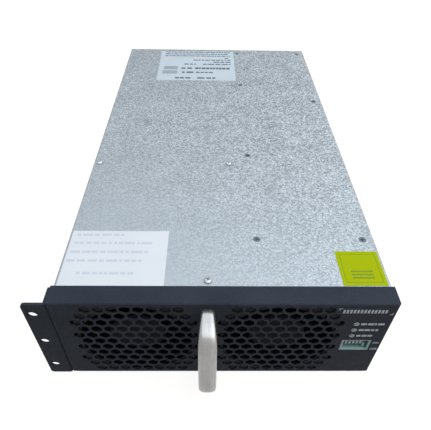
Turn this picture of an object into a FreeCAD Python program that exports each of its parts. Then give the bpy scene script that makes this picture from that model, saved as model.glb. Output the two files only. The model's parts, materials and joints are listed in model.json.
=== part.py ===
import FreeCAD, Part
import math
import os

V = FreeCAD.Vector
ALONG_X = V(1, 0, 0)
ALONG_Y = V(0, 1, 0)
ALONG_Z = V(0, 0, 1)

# How far a cutting shape runs past the face that it cuts
PAST = 1.0

# A plug-in power module, half a rack wide and two units high, with two fans behind its front panel.
# Millimetres. X runs along the front to the right, Y from the front to the rear and Z up.
# The origin lies in the middle of the flat underside.

# Depth from the face of the front panel to the rear
casing_depth = 400.0

# Fans, whose size sets the height of the front panel and most of its width
fan_hole_spacing = 71.5
fan_hole_edge = 4.25
fan_hole_clearance = 0.2
fan_depth = 38.0
fan_corner_radius = 4.0
fan_flange = 4.0
fan_duct_wall = 1.2
fan_rim = 1.5
fan_tip_gap = 1.0
fan_hub_diameter = 40.0
fan_hub_recess = 6.0
fan_hub_wall = 1.8
fan_hub_edge_radius = 1.5
fan_base_thickness = 3.0
fan_base_gap = 1.5
fan_shaft_diameter = 3.0
fan_shaft_clearance = 0.05
fan_shaft_end_gap = 0.5
fan_bearing_wall = 3.0
fan_stator_gap = 0.8
fan_strut_count = 4
fan_strut_width = 3.0
blade_count = 7
blade_thickness = 1.4
blade_camber = 2.5
blade_root_chord = 22.0
blade_root_pitch = 52.0
blade_tip_chord = 30.0
blade_tip_pitch = 32.0

# Zones across the front panel, from left to right: margin, fan, handle, fan, indicators
left_margin = 13.3
handle_zone = 17.6
indicator_zone = 34.1
fan_headroom = 3.5

# Sheet metal
panel_sheet = 1.0
panel_bend = 1.5
panel_return = 14.4
casing_sheet = 1.2
casing_bend = 1.8
cover_setback = 0.5
cover_lift = 0.3
tray_flange = 12.0
rear_return = 12.0
slip = 0.1
notch_gap = 1.0

# Honeycomb grille in the front panel
hex_flat = 7.0
hex_pitch = 8.55
grille_side_overlap = 2.5
grille_edge = 1.7
grille_stud_land = 0.04

# Vents in the rear panel
vent_flat = 11.0
vent_pitch = 12.8
vent_border = 5.0

# Rack ear on the left
ear_width = 16.0
ear_step = 1.2
ear_sheet = 2.0
ear_bend = 2.0
ear_leg = 15.2
ear_corner_radius = 2.5
ear_hole_diameter = 6.5
ear_hole_spacing = 31.75
ear_hole_edge = 5.4

# Pull handle
handle_height = 76.0
handle_reach = 24.5
handle_corner = 15.0
handle_grip_width = 12.3
handle_grip_thickness = 8.0
handle_foot_width = 9.1
handle_foot_thickness = 9.0
handle_edge_radius = 2.0
handle_leg_steps = 2
handle_bend_steps = 4

# Screws, studs and nuts
screw_fit = 0.1
small_shank = 3.0
small_head = 5.5
small_head_height = 2.0
flat_head_height = 1.15
cover_screw_length = 8.0
short_screw_length = 6.0
handle_shank = 4.0
handle_head = 7.5
handle_head_height = 2.6
handle_screw_length = 9.0
stud_diameter = 4.0
nut_flat = 7.0
nut_thickness = 3.2
stud_end = 1.0
clinch_nut_diameter = 6.0
clinch_nut_thickness = 3.0

# Screw places, from the edges that they are measured from on the cover
inner_column_from_right = 87.5
outer_column_from_right = 10.0
heatsink_screw_inset = 5.0
inner_middle_from_first = 105.0
inner_rear_from_end = 65.0
outer_rear_from_end = 101.5
rear_row_from_rear = 11.25
divider_screw_from_front = 19.5
stiffener_from_front = 150.0
stiffener_screw_from_left = 6.5
stiffener_screw_from_column = 17.5
side_screw_height = 7.0
side_screw_inset = 30.0
panel_screw_inset = 20.0

# Labels on the cover
label_thickness = 0.15
rating_label_size = (92.0, 82.5)
rating_label_from_left = 41.25
rating_label_from_rear = 6.25
plain_label_size = (70.0, 50.5)
plain_label_from_left = 3.2
plain_label_from_panel = 0.6
yellow_label_size = (30.0, 30.5)
yellow_label_from_right = 3.2
yellow_label_from_panel = 1.35

# Indicators and switch block
board_sheet = 1.6
indicator_spacer = 9.0
indicator_board_height = 58.0
indicator_board_from_top = 12.0
indicator_board_inset = 2.5
indicator_board_gap = 0.5
post_flat = 5.0
post_inset = 3.2
lens_count = 3
lens_diameter = 3.0
lens_clearance = 0.1
lens_proud = 0.6
lens_collar_diameter = 4.4
lens_collar = 1.0
lens_edge = 0.4
lens_from_right = 23.7
lens_from_top = 22.0
lens_pitch = 7.05
switch_count = 6
switches_up = 5
switch_pitch = 2.54
switch_travel = 3.0
switch_run = 0.1
switch_from_right = 18.35
switch_from_top = 48.8
switch_setback = 0.5
switch_window_gap = 0.2
switch_rim_side = 2.75
switch_rim_end = 3.8
switch_rim_wall = 1.5
switch_pocket_depth = 3.0
switch_web = 0.8
knob_width = 1.4
knob_height = 3.0
knob_proud = 1.8
knob_foot_width = 2.0
knob_foot_height = 3.8
knob_foot_depth = 1.2

# Power board and what stands on it
main_board_sheet = 2.0
main_board_margin = 4.0
main_board_rear_gap = 2.8
plenum = 12.0
standoff_height = 10.0
standoff_flat = 6.0
standoff_rows = 3
standoff_inset = 9.0
standoff_rear_inset = 22.0
board_screw_length = 8.0
heatsink_plate = 6.0
heatsink_front_gap = 2.0
heatsink_rear_gap = 30.0
heatsink_fin = 1.6
heatsink_fin_length = 14.0
heatsink_fin_pitch = 7.0
heatsink_fin_start = 30.0
transistor_count = 5
transistor_width = 16.0
transistor_height = 20.0
transistor_thickness = 5.0
transistor_lead_length = 4.0
transistor_lead_width = 1.2
transistor_lead_pitch = 5.4
transistor_pitch = 24.0
transistor_from_end = 30.0
capacitor_diameter = 30.0
capacitor_height = 50.0
capacitor_gap = 4.0
capacitor_rows = 2
capacitor_columns = 2
capacitor_from_edge = 6.0
film_count = 3
film_length = 30.0
film_width = 15.0
film_height = 26.0
film_gap = 4.0
transformer_size = (62.0, 46.0, 50.0)
output_choke_size = (52.0, 36.0, 42.0)
input_choke_size = (34.0, 28.0, 34.0)
core_leg_share = 0.26
core_yoke = 9.0
core_play = 0.4
winding_overhang = 7.0
magnetics_gap = 18.0
magnetics_from_edge = 26.0
fuse_size = (17.0, 46.0, 17.0)
fuse_lift = 3.0
fuse_blade = 3.0
fuse_blade_length = 8.0
fuse_from_front = 12.0
control_board_size = (70.0, 45.0)
control_header = (5.0, 60.0, 6.0)
control_from_rear = 64.0
connector_size = (50.0, 24.0, 22.0)
connector_proud = 8.0
connector_gap = 0.3
contact_count = 4
contact_width = 2.2
contact_height = 12.0
contact_pitch = 7.5
contact_recess = 6.0
contact_fit = 0.05
pin_count = 6
pin_width = 1.2
pin_pitch = 2.8
bar_size = (11.0, 40.0, 3.0)
bar_gap = 8.0

# Stiffener under the cover and divider between the fans
stiffener_flange = 14.0
stiffener_web = 10.0
stiffener_past_screw = 6.0
divider_flange = 12.0
divider_bend = 1.8

# Values that follow from the sizes above
fan_size = fan_hole_spacing + 2 * fan_hole_edge
fan_bore_diameter = fan_size - 2 * fan_rim
fan_hole_diameter = stud_diameter + 2 * fan_hole_clearance
panel_width = left_margin + fan_size + handle_zone + fan_size + indicator_zone
panel_height = fan_size + 2 * fan_headroom
left = -panel_width / 2
right = panel_width / 2
front = -casing_depth / 2
rear = casing_depth / 2
floor_top = casing_sheet
panel_bottom = floor_top
panel_top = panel_bottom + panel_height
middle_z = panel_bottom + panel_height / 2
panel_back = front + panel_sheet
return_end = front + panel_return
cover_half = panel_width / 2 - panel_sheet - slip
cover_top = panel_top - panel_sheet - slip
cover_under = cover_top - casing_sheet
cover_inside = cover_half - casing_sheet
cover_front = panel_back + panel_bend - panel_sheet + slip
cover_rear = rear - cover_setback
tray_half = cover_inside - slip
fan_left_x = left + left_margin + fan_size / 2
fan_right_x = fan_left_x + fan_size + handle_zone
handle_x = (fan_left_x + fan_right_x) / 2
fan_rear = panel_back + fan_depth
fan_base_front = fan_rear - fan_base_thickness
hub_front = panel_back + fan_hub_recess
hub_radius = fan_hub_diameter / 2
bearing_radius = fan_shaft_diameter / 2 + fan_shaft_clearance + fan_bearing_wall
hex_corner = hex_flat / math.sqrt(3)
board_bottom = floor_top + standoff_height
board_top = board_bottom + main_board_sheet
board_front = fan_rear + plenum
board_rear = rear - casing_sheet - main_board_rear_gap
board_half = tray_half - casing_sheet - main_board_margin
inner_column = right - inner_column_from_right
outer_column = right - outer_column_from_right
heatsink_front = board_front + heatsink_front_gap
heatsink_rear = board_rear - heatsink_rear_gap
rear_inner = rear - casing_sheet
rear_return_front = rear_inner - rear_return
indicator_front = panel_back + indicator_spacer
switch_x = right - switch_from_right
switch_z = panel_top - switch_from_top
slot_width = knob_width + 2 * switch_run
slot_height = knob_height + switch_travel + 2 * switch_run
switch_half_width = switch_count * switch_pitch / 2 + switch_rim_side
switch_half_height = slot_height / 2 + switch_rim_end
switch_front = front + switch_setback
pocket_floor = switch_front + switch_pocket_depth
channel_front = pocket_floor + switch_web
duct_x = (inner_column + outer_column) / 2
connector_front = rear - connector_size[1]
fan_corners = [(x, z) for x in (-1, 1) for z in (-1, 1)]


def box(x0, x1, y0, y1, z0, z1):
    return Part.makeBox(x1 - x0, y1 - y0, z1 - z0, V(x0, y0, z0))


def rod(point, direction, diameter, length):
    return Part.makeCylinder(diameter / 2, length, point, direction)


def hexagon(x, y, z, flat, length):
    """A hexagonal prism that points upwards and runs along Y."""
    radius = flat / math.sqrt(3)
    turns = [math.radians(30 + 60 * k) for k in range(7)]
    points = [V(x + radius * math.cos(a), y, z + radius * math.sin(a)) for a in turns]
    return Part.Face(Part.makePolygon(points)).extrude(V(0, length, 0))


def hex_post(x, y, z, flat, height):
    """A hexagonal post that stands up along Z."""
    post = hexagon(0, 0, 0, flat, height)
    post.rotate(V(0, 0, 0), ALONG_X, 90)
    post.translate(V(x, y, z))
    return post


def folded(points, sheet, bend):
    """A strip of sheet to the left of the line through the points, with a round bend at each corner."""
    edges = []
    start = points[0]
    for before, corner, after in zip(points, points[1:], points[2:]):
        into = (corner - before).normalize()
        out = (after - corner).normalize()
        inward = (out - into).normalize()
        first = corner - into * bend
        last = corner + out * bend
        middle = corner + inward * bend * (math.sqrt(2) - 1)
        edges.append(Part.LineSegment(start, first).toShape())
        edges.append(Part.Arc(first, middle, last).toShape())
        start = last
    edges.append(Part.LineSegment(start, points[-1]).toShape())
    return Part.Wire(edges).makeOffset2D(-sheet, 0, True, True)


def flat_head(point, direction, length):
    """A countersunk screw whose head starts at the point."""
    cone = Part.makeCone(small_head / 2, small_shank / 2, flat_head_height, point, direction)
    return cone.fuse(rod(point + direction * flat_head_height, direction, small_shank, length))


def flat_head_hole(point, direction, depth):
    """The room for a countersunk screw, with its clearance."""
    wide = small_head / 2 + screw_fit
    narrow = small_shank / 2 + screw_fit
    cone = Part.makeCone(wide, narrow, flat_head_height, point, direction)
    return cone.fuse(rod(point + direction * flat_head_height, direction, 2 * narrow, depth))


def pan_head(seat, direction, head, height, shank, length):
    """A screw whose round head sits on the seat and whose shank runs along the direction."""
    top = rod(seat - direction * height, direction, head, height)
    return top.fuse(rod(seat, direction, shank, length))


def clear_hole(seat, direction, shank, length):
    """A screw's hole, from one length above the seat to one length below it."""
    return rod(seat - direction * length, direction, shank + 2 * screw_fit, 2 * length)


def edges_at_y(shape, y):
    """The edges that lie in the plane at y."""
    return [e for e in shape.Edges if all(abs(v.Y - y) < 1e-6 for v in e.Vertexes)]


def edges_along_y(block):
    """The edges of a block that run from its front to its rear."""
    return [e for e in block.Edges if abs(e.Vertexes[0].Y - e.Vertexes[1].Y) > 1e-6]


def grille_holes(centre_x):
    """One honeycomb field, which leaves out the holes that would meet a fan's weld studs."""
    row_pitch = hex_pitch * math.sqrt(3) / 2
    half_rows = int((panel_height / 2 - grille_edge - hex_corner) / row_pitch)
    width = fan_size + 2 * grille_side_overlap - hex_flat
    columns = int(width / hex_pitch) + 1
    stud = fan_hole_spacing / 2
    land = stud_diameter / 2 + grille_stud_land
    holes = []
    for row in range(-half_rows, half_rows + 1):
        count = columns if row % 2 else columns - 1
        for k in range(count):
            x = (k - (count - 1) / 2) * hex_pitch
            z = row * row_pitch
            across = abs(abs(x) - stud) < hex_flat / 2 + land
            along = abs(abs(z) - stud) < hex_corner + land
            if across and along:
                continue
            holes.append(hexagon(centre_x + x, front - PAST, middle_z + z, hex_flat,
                                 panel_sheet + 2 * PAST))
    return holes


def handle_places():
    """The middles of the handle's two feet on the panel's face."""
    offset = (handle_height - handle_foot_thickness) / 2
    return [V(handle_x, front, middle_z - offset), V(handle_x, front, middle_z + offset)]


def lens_places():
    x = right - lens_from_right
    return [V(x, front, panel_top - lens_from_top - k * lens_pitch) for k in range(lens_count)]


def post_places():
    """The two posts that carry the indicator board, at opposite corners."""
    low_x, high_x, low_z, high_z = indicator_outline()
    return [V(low_x + post_inset, panel_back, low_z + post_inset),
            V(high_x - post_inset, panel_back, high_z - post_inset)]


def indicator_outline():
    """The indicator board's edges: left, right, bottom and top."""
    top = panel_top - indicator_board_from_top
    fan_side = fan_right_x + fan_size / 2
    return (fan_side + indicator_board_inset, cover_inside - clinch_nut_thickness - indicator_board_gap,
            top - indicator_board_height, top)


def panel_screw_places():
    """Seats of the screws at the sides of the front panel, with the way that each one runs."""
    y = front + ear_leg / 2
    places = []
    for z in (panel_bottom + panel_screw_inset, panel_top - panel_screw_inset):
        places.append((V(left - ear_sheet, y, z), ALONG_X))
        places.append((V(right, y, z), -ALONG_X))
    return places


def side_screw_places():
    """Seats of the screws that hold the cover's sides to the tray and to the rear panel."""
    z = side_screw_height
    low = [return_end + side_screw_inset, 0, rear_return_front - side_screw_inset]
    spots = [(y, z) for y in low] + [((rear_inner + rear_return_front) / 2, middle_z)]
    places = []
    for y, height in spots:
        places.append((V(-cover_half, y, height), ALONG_X))
        places.append((V(cover_half, y, height), -ALONG_X))
    return places


def heatsink_screw_places():
    """Places on top of the cover where its screws enter the two heatsinks."""
    first = heatsink_front + heatsink_screw_inset
    inner = [first, first + inner_middle_from_first, heatsink_rear - inner_rear_from_end]
    outer = [first, heatsink_rear - outer_rear_from_end]
    spots = [(inner_column, y) for y in inner] + [(outer_column, y) for y in outer]
    return [V(x, y, cover_top) for x, y in spots]


def rear_row_places():
    """Places on top of the cover where its screws enter the rear panel."""
    return [V(x, rear - rear_row_from_rear, cover_top) for x in (inner_column, outer_column)]


def divider_screw_place():
    return V(handle_x, front + divider_screw_from_front, cover_top)


def stiffener_screw_places():
    y = front + stiffener_from_front
    return [V(left + stiffener_screw_from_left, y, cover_top),
            V(inner_column - stiffener_screw_from_column, y, cover_top)]


def front_panel():
    """A folded pan whose top and side returns lap over the casing, with the bottom one inside it."""
    outer = box(left, right, front, return_end, panel_bottom, panel_top)
    outer = outer.makeFillet(panel_bend, edges_at_y(outer, front))
    inner = box(left + panel_sheet, right - panel_sheet, panel_back, return_end + PAST,
                panel_bottom + panel_sheet, panel_top - panel_sheet)
    inner = inner.makeFillet(panel_bend - panel_sheet, edges_at_y(inner, panel_back))
    notch_top = panel_bottom + panel_sheet + slip
    cuts = [inner]
    for x0, x1 in ((left - PAST, -tray_half), (tray_half, right + PAST)):
        cuts.append(box(x0, x1, panel_back, return_end + PAST, panel_bottom - PAST, notch_top))
    for place in lens_places():
        cuts.append(rod(place - ALONG_Y * PAST, ALONG_Y, lens_diameter + 2 * lens_clearance,
                        panel_sheet + 2 * PAST))
    half_width = switch_half_width + switch_window_gap
    half_height = switch_half_height + switch_window_gap
    cuts.append(box(switch_x - half_width, switch_x + half_width, front - PAST, panel_back + PAST,
                    switch_z - half_height, switch_z + half_height))
    for place in handle_places():
        cuts.append(clear_hole(place, ALONG_Y, handle_shank, panel_sheet + PAST))
    for seat, direction in panel_screw_places():
        cuts.append(clear_hole(seat, direction, small_shank, ear_sheet + panel_sheet + slip))
    return outer.cut(cuts).cut(grille_holes(fan_left_x) + grille_holes(fan_right_x))


def rack_ear():
    """An angle whose leaf is flush with the panel's face and whose leg lies along its left return."""
    outline = folded([V(left - ear_width, front, 0), V(left, front, 0), V(left, front + ear_leg, 0)],
                     ear_sheet, ear_bend)
    height = panel_height - ear_step
    ear = outline.extrude(V(0, 0, height))
    ear.translate(V(0, 0, panel_bottom))
    tip = [e for e in ear.Edges if abs(e.CenterOfMass.x - (left - ear_width)) < 1e-6
           and e.Length < 2 * ear_sheet]
    end = [e for e in ear.Edges if abs(e.CenterOfMass.y - (front + ear_leg)) < 1e-6
           and e.Length < 2 * ear_sheet]
    ear = ear.makeFillet(ear_corner_radius, tip + end)
    x = left - ear_width + ear_hole_edge
    holes = []
    for k in (-1, 0, 1):
        place = V(x, front - PAST, panel_bottom + height / 2 + k * ear_hole_spacing)
        holes.append(rod(place, ALONG_Y, ear_hole_diameter, ear_sheet + 2 * PAST))
    for seat, direction in panel_screw_places():
        holes.append(clear_hole(seat, direction, small_shank, ear_sheet + PAST))
    return ear.cut(holes)


def handle_section(y, z, lean, width, thickness):
    """A rounded rectangle across the handle, whose run leans by the angle from straight out to down."""
    centre = V(handle_x, y, z)
    outward = V(0, -math.sin(lean), math.cos(lean))
    across = ALONG_X * (width / 2 - handle_edge_radius)
    along = outward * (thickness / 2 - handle_edge_radius)
    corners = [(centre + across + along, ALONG_X, outward), (centre - across + along, outward, -ALONG_X),
               (centre - across - along, -ALONG_X, -outward), (centre + across - along, -outward, ALONG_X)]
    edges = []
    for k, (corner, first, second) in enumerate(corners):
        middle = (first + second).normalize()
        start, turn, end = (corner + way * handle_edge_radius for way in (first, middle, second))
        after, way = corners[(k + 1) % len(corners)][:2]
        edges.append(Part.Arc(start, turn, end).toShape())
        edges.append(Part.LineSegment(end, after + way * handle_edge_radius).toShape())
    return Part.Wire(edges)


def pull_handle():
    """A bow with flat faces and round edges, which widens from its feet to its grip."""
    bend = handle_corner - handle_grip_thickness / 2
    straight = handle_reach - handle_corner
    run = straight + bend * math.pi / 2
    top = handle_places()[1].z

    def section(reach, lean):
        swell = math.sin((reach + bend * lean) / run * math.pi / 2)
        width = handle_foot_width + swell * (handle_grip_width - handle_foot_width)
        thickness = handle_foot_thickness + swell * (handle_grip_thickness - handle_foot_thickness)
        y = front - reach - bend * math.sin(lean)
        return handle_section(y, top - bend * (1 - math.cos(lean)), lean, width, thickness)

    legs = [section(straight * k / handle_leg_steps, 0) for k in range(handle_leg_steps + 1)]
    leans = [math.pi / 2 * k / handle_bend_steps for k in range(handle_bend_steps + 1)]
    bends = [section(straight, lean) for lean in leans]
    upper = Part.makeLoft(legs, True).fuse(Part.makeLoft(bends, True))
    lower = upper.mirror(V(0, 0, middle_z), ALONG_Z)
    grip = Part.Face(bends[-1]).extrude(V(0, 0, 2 * (middle_z - top + bend)))
    depth = handle_screw_length - panel_sheet + stud_end
    bores = [rod(p, -ALONG_Y, handle_shank + 2 * screw_fit, depth) for p in handle_places()]
    return grip.fuse([upper, lower]).cut(bores)


def handle_screws():
    screws = []
    for place in handle_places():
        seat = V(place.x, panel_back, place.z)
        screws.append(pan_head(seat, -ALONG_Y, handle_head, handle_head_height, handle_shank,
                               handle_screw_length))
    return screws


def panel_screws():
    """Screws at the sides of the panel, where those on the left also hold the rack ear."""
    reach = panel_sheet + slip + casing_sheet + clinch_nut_thickness + stud_end
    screws = []
    for seat, direction in panel_screw_places():
        extra = ear_sheet if direction.x > 0 else 0
        screws.append(pan_head(seat, direction, small_head, small_head_height, small_shank, reach + extra))
    return screws


def panel_nuts():
    """Clinch nuts inside the cover's sides."""
    nuts = []
    for seat, direction in panel_screw_places():
        place = V(-direction.x * cover_inside, seat.y, seat.z)
        nut = rod(place, direction, clinch_nut_diameter, clinch_nut_thickness)
        nuts.append(nut.cut(clear_hole(place, direction, small_shank, 2 * clinch_nut_thickness)))
    return nuts


def top_cover():
    """A folded cover: the top and both sides."""
    outline = folded([V(cover_half, cover_lift, 0), V(cover_half, cover_top, 0),
                      V(-cover_half, cover_top, 0), V(-cover_half, cover_lift, 0)],
                     casing_sheet, casing_bend)
    cover = outline.extrude(V(0, 0, cover_rear - cover_front))
    cover.rotate(V(0, 0, 0), ALONG_X, 90)
    cover.translate(V(0, cover_rear, 0))
    holes = []
    for place in heatsink_screw_places() + rear_row_places():
        holes.append(flat_head_hole(place, -ALONG_Z, casing_sheet))
    for place in stiffener_screw_places() + [divider_screw_place()]:
        holes.append(clear_hole(place, -ALONG_Z, small_shank, 2 * casing_sheet))
    for seat, direction in side_screw_places():
        holes.append(clear_hole(seat, direction, small_shank, 2 * casing_sheet))
    for seat, direction in panel_screw_places():
        wall = V(-direction.x * cover_half, seat.y, seat.z)
        holes.append(clear_hole(wall, direction, small_shank, 2 * casing_sheet))
    return cover.cut(holes)


def base_tray():
    """A folded floor with low flanges inside the cover's sides, cut back at both ends."""
    outline = folded([V(tray_half, -tray_flange, 0), V(tray_half, 0, 0), V(-tray_half, 0, 0),
                      V(-tray_half, -tray_flange, 0)], casing_sheet, casing_bend)
    tray = outline.extrude(V(0, 0, rear_inner - panel_back))
    tray.rotate(V(0, 0, 0), ALONG_X, -90)
    tray.translate(V(0, panel_back, 0))
    cuts = []
    for y0, y1 in ((panel_back - PAST, return_end + notch_gap), (rear_return_front - notch_gap, rear)):
        cuts.append(box(-tray_half - PAST, tray_half + PAST, y0, y1, floor_top, tray_flange + PAST))
    for seat, direction in side_screw_places():
        wall = V(-direction.x * tray_half, seat.y, seat.z)
        cuts.append(clear_hole(wall, direction, small_shank, 2 * casing_sheet))
    return tray.cut(cuts)


def vent_holes():
    """Hexagonal vents over the rear panel, clear of its edges and of the connector."""
    row_pitch = vent_pitch * math.sqrt(3) / 2
    corner = vent_flat / math.sqrt(3)
    low = floor_top + casing_sheet + vent_border + corner
    high = cover_under - casing_sheet - vent_border - corner
    rows = int((high - low) / row_pitch) + 1
    columns = int((2 * (tray_half - casing_sheet - vent_border) - vent_flat) / vent_pitch)
    start = (low + high - (rows - 1) * row_pitch) / 2
    clear_x = connector_size[0] / 2 + vent_flat / 2 + vent_border
    clear_z = board_top + connector_size[2] + corner + vent_border
    holes = []
    for row in range(rows):
        z = start + row * row_pitch
        count = columns - row % 2
        for k in range(count):
            x = (k - (count - 1) / 2) * vent_pitch
            if z < clear_z and abs(x - duct_x) < clear_x:
                continue
            holes.append(hexagon(x, rear_inner - PAST, z, vent_flat, casing_sheet + 2 * PAST))
    return holes


def rear_panel():
    """A pan that closes the rear, with its returns inside the casing."""
    outer = box(-tray_half, tray_half, rear_return_front, rear, floor_top, cover_under)
    outer = outer.makeFillet(casing_bend, edges_at_y(outer, rear) + edges_along_y(outer))
    inner = box(-tray_half + casing_sheet, tray_half - casing_sheet, rear_return_front - PAST, rear_inner,
                floor_top + casing_sheet, cover_under - casing_sheet)
    rounded = edges_at_y(inner, rear_inner) + edges_along_y(inner)
    inner = inner.makeFillet(casing_bend - casing_sheet, rounded)
    cuts = [inner]
    half = connector_size[0] / 2 + connector_gap
    cuts.append(box(duct_x - half, duct_x + half, rear_inner - PAST, rear + PAST,
                    board_top - connector_gap, board_top + connector_size[2] + connector_gap))
    for place in rear_row_places():
        cuts.append(flat_head_hole(place, -ALONG_Z, 2 * casing_sheet))
    for seat, direction in side_screw_places():
        wall = V(-direction.x * tray_half, seat.y, seat.z)
        cuts.append(clear_hole(wall, direction, small_shank, 2 * casing_sheet))
    return outer.cut(cuts).cut(vent_holes())


def cover_screws():
    """Dark countersunk screws that hold the cover to the heatsinks and to the rear panel."""
    screws = [flat_head(p, -ALONG_Z, cover_screw_length) for p in heatsink_screw_places()]
    return screws + [flat_head(p, -ALONG_Z, short_screw_length) for p in rear_row_places()]


def pan_screws():
    """Bright screws with raised heads that hold the stiffener and the divider under the cover."""
    places = stiffener_screw_places() + [divider_screw_place()]
    return [pan_head(p, -ALONG_Z, small_head, small_head_height, small_shank, short_screw_length)
            for p in places]


def side_screws():
    return [pan_head(seat, direction, small_head, small_head_height, small_shank, short_screw_length)
            for seat, direction in side_screw_places()]


def fan_divider():
    """A channel between the two fans, from the floor to the cover."""
    x0 = handle_x - divider_flange / 2
    x1 = handle_x + divider_flange / 2
    outline = folded([V(x1, -floor_top, 0), V(x0, -floor_top, 0), V(x0, -cover_under, 0),
                      V(x1, -cover_under, 0)], casing_sheet, divider_bend)
    start = return_end + notch_gap
    channel = outline.extrude(V(0, 0, fan_rear - start))
    channel.rotate(V(0, 0, 0), ALONG_X, -90)
    channel.translate(V(0, start, 0))
    place = divider_screw_place()
    return channel.cut(clear_hole(place, -ALONG_Z, small_shank, 3 * casing_sheet))


def cover_stiffener():
    """An angle under the cover that runs from the left side to the inner heatsink."""
    places = stiffener_screw_places()
    y = front + stiffener_from_front
    y0 = y - stiffener_flange / 2
    x0 = casing_bend - cover_inside
    x1 = places[1].x + stiffener_past_screw
    points = [V(0, y + stiffener_flange / 2, cover_under), V(0, y0, cover_under),
              V(0, y0, cover_under - stiffener_web)]
    angle = folded(points, casing_sheet, casing_bend).extrude(V(x1 - x0, 0, 0))
    angle.translate(V(x0, 0, 0))
    return angle.cut([clear_hole(p, -ALONG_Z, small_shank, 3 * casing_sheet) for p in places])


def label(x, y, size):
    """A thin label with its left front corner at x and y."""
    return box(x, x + size[0], y, y + size[1], cover_top, cover_top + label_thickness)


def rating_label():
    return label(left + rating_label_from_left, rear - rating_label_from_rear - rating_label_size[1],
                 rating_label_size)


def plain_label():
    return label(left + plain_label_from_left, return_end + plain_label_from_panel, plain_label_size)


def yellow_label():
    return label(right - yellow_label_from_right - yellow_label_size[0],
                 return_end + yellow_label_from_panel, yellow_label_size)


def fan_stud_places(centre_x):
    half = fan_hole_spacing / 2
    return [V(centre_x + x * half, panel_back, middle_z + z * half) for x, z in fan_corners]


def fan_studs():
    """Studs welded to the back of the front panel."""
    length = fan_depth + nut_thickness + stud_end
    places = fan_stud_places(fan_left_x) + fan_stud_places(fan_right_x)
    return [rod(p, ALONG_Y, stud_diameter, length) for p in places]


def fan_nuts():
    nuts = []
    for place in fan_stud_places(fan_left_x) + fan_stud_places(fan_right_x):
        nut = hexagon(place.x, fan_rear, place.z, nut_flat, nut_thickness)
        seat = V(place.x, fan_rear, place.z)
        nuts.append(nut.cut(clear_hole(seat, ALONG_Y, stud_diameter, 2 * nut_thickness)))
    return nuts


def fan_flange_plate(centre_x, y):
    """A square flange with rounded corners."""
    half = fan_size / 2
    plate = box(centre_x - half, centre_x + half, y, y + fan_flange, middle_z - half, middle_z + half)
    return plate.makeFillet(fan_corner_radius, edges_along_y(plate))


def fan_frame(centre_x):
    """A round duct between two square flanges, with struts that carry the motor's base and bearing."""
    centre = V(centre_x, panel_back, middle_z)
    base = V(centre_x, fan_base_front, middle_z)
    duct = rod(centre, ALONG_Y, fan_bore_diameter + 2 * fan_duct_wall, fan_depth)
    frame = duct.fuse([fan_flange_plate(centre_x, panel_back),
                       fan_flange_plate(centre_x, fan_rear - fan_flange)])
    holes = [rod(p, ALONG_Y, fan_hole_diameter, fan_depth) for p in fan_stud_places(centre_x)]
    frame = frame.cut([rod(centre, ALONG_Y, fan_bore_diameter, fan_depth)] + holes)
    carrier = rod(base, ALONG_Y, fan_hub_diameter, fan_base_thickness)
    reach = (fan_bore_diameter + fan_duct_wall) / 2
    struts = []
    for k in range(fan_strut_count):
        strut = box(0, reach, fan_base_front, fan_rear, -fan_strut_width / 2, fan_strut_width / 2)
        strut.rotate(V(0, 0, 0), ALONG_Y, (k + 0.5) * 360 / fan_strut_count)
        strut.translate(V(centre_x, 0, middle_z))
        struts.append(strut)
    tube_front = hub_front + fan_hub_wall + fan_base_gap
    tube = rod(V(centre_x, tube_front, middle_z), ALONG_Y, 2 * bearing_radius, fan_base_front - tube_front)
    bearing = fan_shaft_diameter + 2 * fan_shaft_clearance
    bore = rod(V(centre_x, tube_front, middle_z), ALONG_Y, bearing,
               fan_base_front - tube_front + fan_base_thickness / 2)
    return frame.fuse([carrier, tube] + struts).cut(bore)


def blade_section(radius, chord, pitch):
    """A thin cambered plate across a blade, seen along the blade from the hub."""
    turn = math.radians(pitch)
    along = V(0, math.sin(turn), math.cos(turn))
    across = V(0, math.cos(turn), -math.sin(turn))
    centre = V(radius, 0, 0)
    half = across * (blade_thickness / 2)
    first = centre - along * (chord / 2)
    last = centre + along * (chord / 2)
    crown = centre + across * blade_camber
    edges = [Part.Arc(first + half, crown + half, last + half).toShape(),
             Part.LineSegment(last + half, last - half).toShape(),
             Part.Arc(last - half, crown - half, first - half).toShape(),
             Part.LineSegment(first - half, first + half).toShape()]
    return Part.Wire(edges)


def fan_rotor(centre_x):
    """A hub cup with its shaft and twisted blades."""
    skirt_end = fan_base_front - fan_base_gap
    depth = skirt_end - hub_front
    tip_radius = fan_bore_diameter / 2 - fan_tip_gap
    origin = V(0, 0, 0)
    hub = rod(origin, ALONG_Y, fan_hub_diameter, depth)
    hub = hub.makeFillet(fan_hub_edge_radius, edges_at_y(hub, 0))
    hollow = rod(V(0, fan_hub_wall, 0), ALONG_Y, fan_hub_diameter - 2 * fan_hub_wall, depth)
    shaft_length = fan_base_front + fan_base_thickness / 2 - fan_shaft_end_gap - hub_front
    shaft = rod(origin, ALONG_Y, fan_shaft_diameter, shaft_length)
    root = blade_section(hub_radius - fan_hub_wall, blade_root_chord, blade_root_pitch)
    tip = blade_section(tip_radius + blade_tip_chord / 4, blade_tip_chord, blade_tip_pitch)
    blade = Part.makeLoft([root, tip], True, True)
    sweep = rod(V(0, -depth, 0), ALONG_Y, 2 * tip_radius, 2 * depth)
    core = rod(V(0, -depth, 0), ALONG_Y, 2 * hub_radius - fan_hub_wall, 2 * depth)
    blade = blade.common(sweep).cut(core)
    blade.translate(V(0, depth / 2, 0))
    blades = []
    for k in range(blade_count):
        copy = blade.copy()
        copy.rotate(origin, ALONG_Y, k * 360 / blade_count)
        blades.append(copy)
    rotor = hub.cut(hollow).fuse([shaft] + blades)
    rotor.translate(V(centre_x, hub_front, middle_z))
    return rotor


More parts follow.
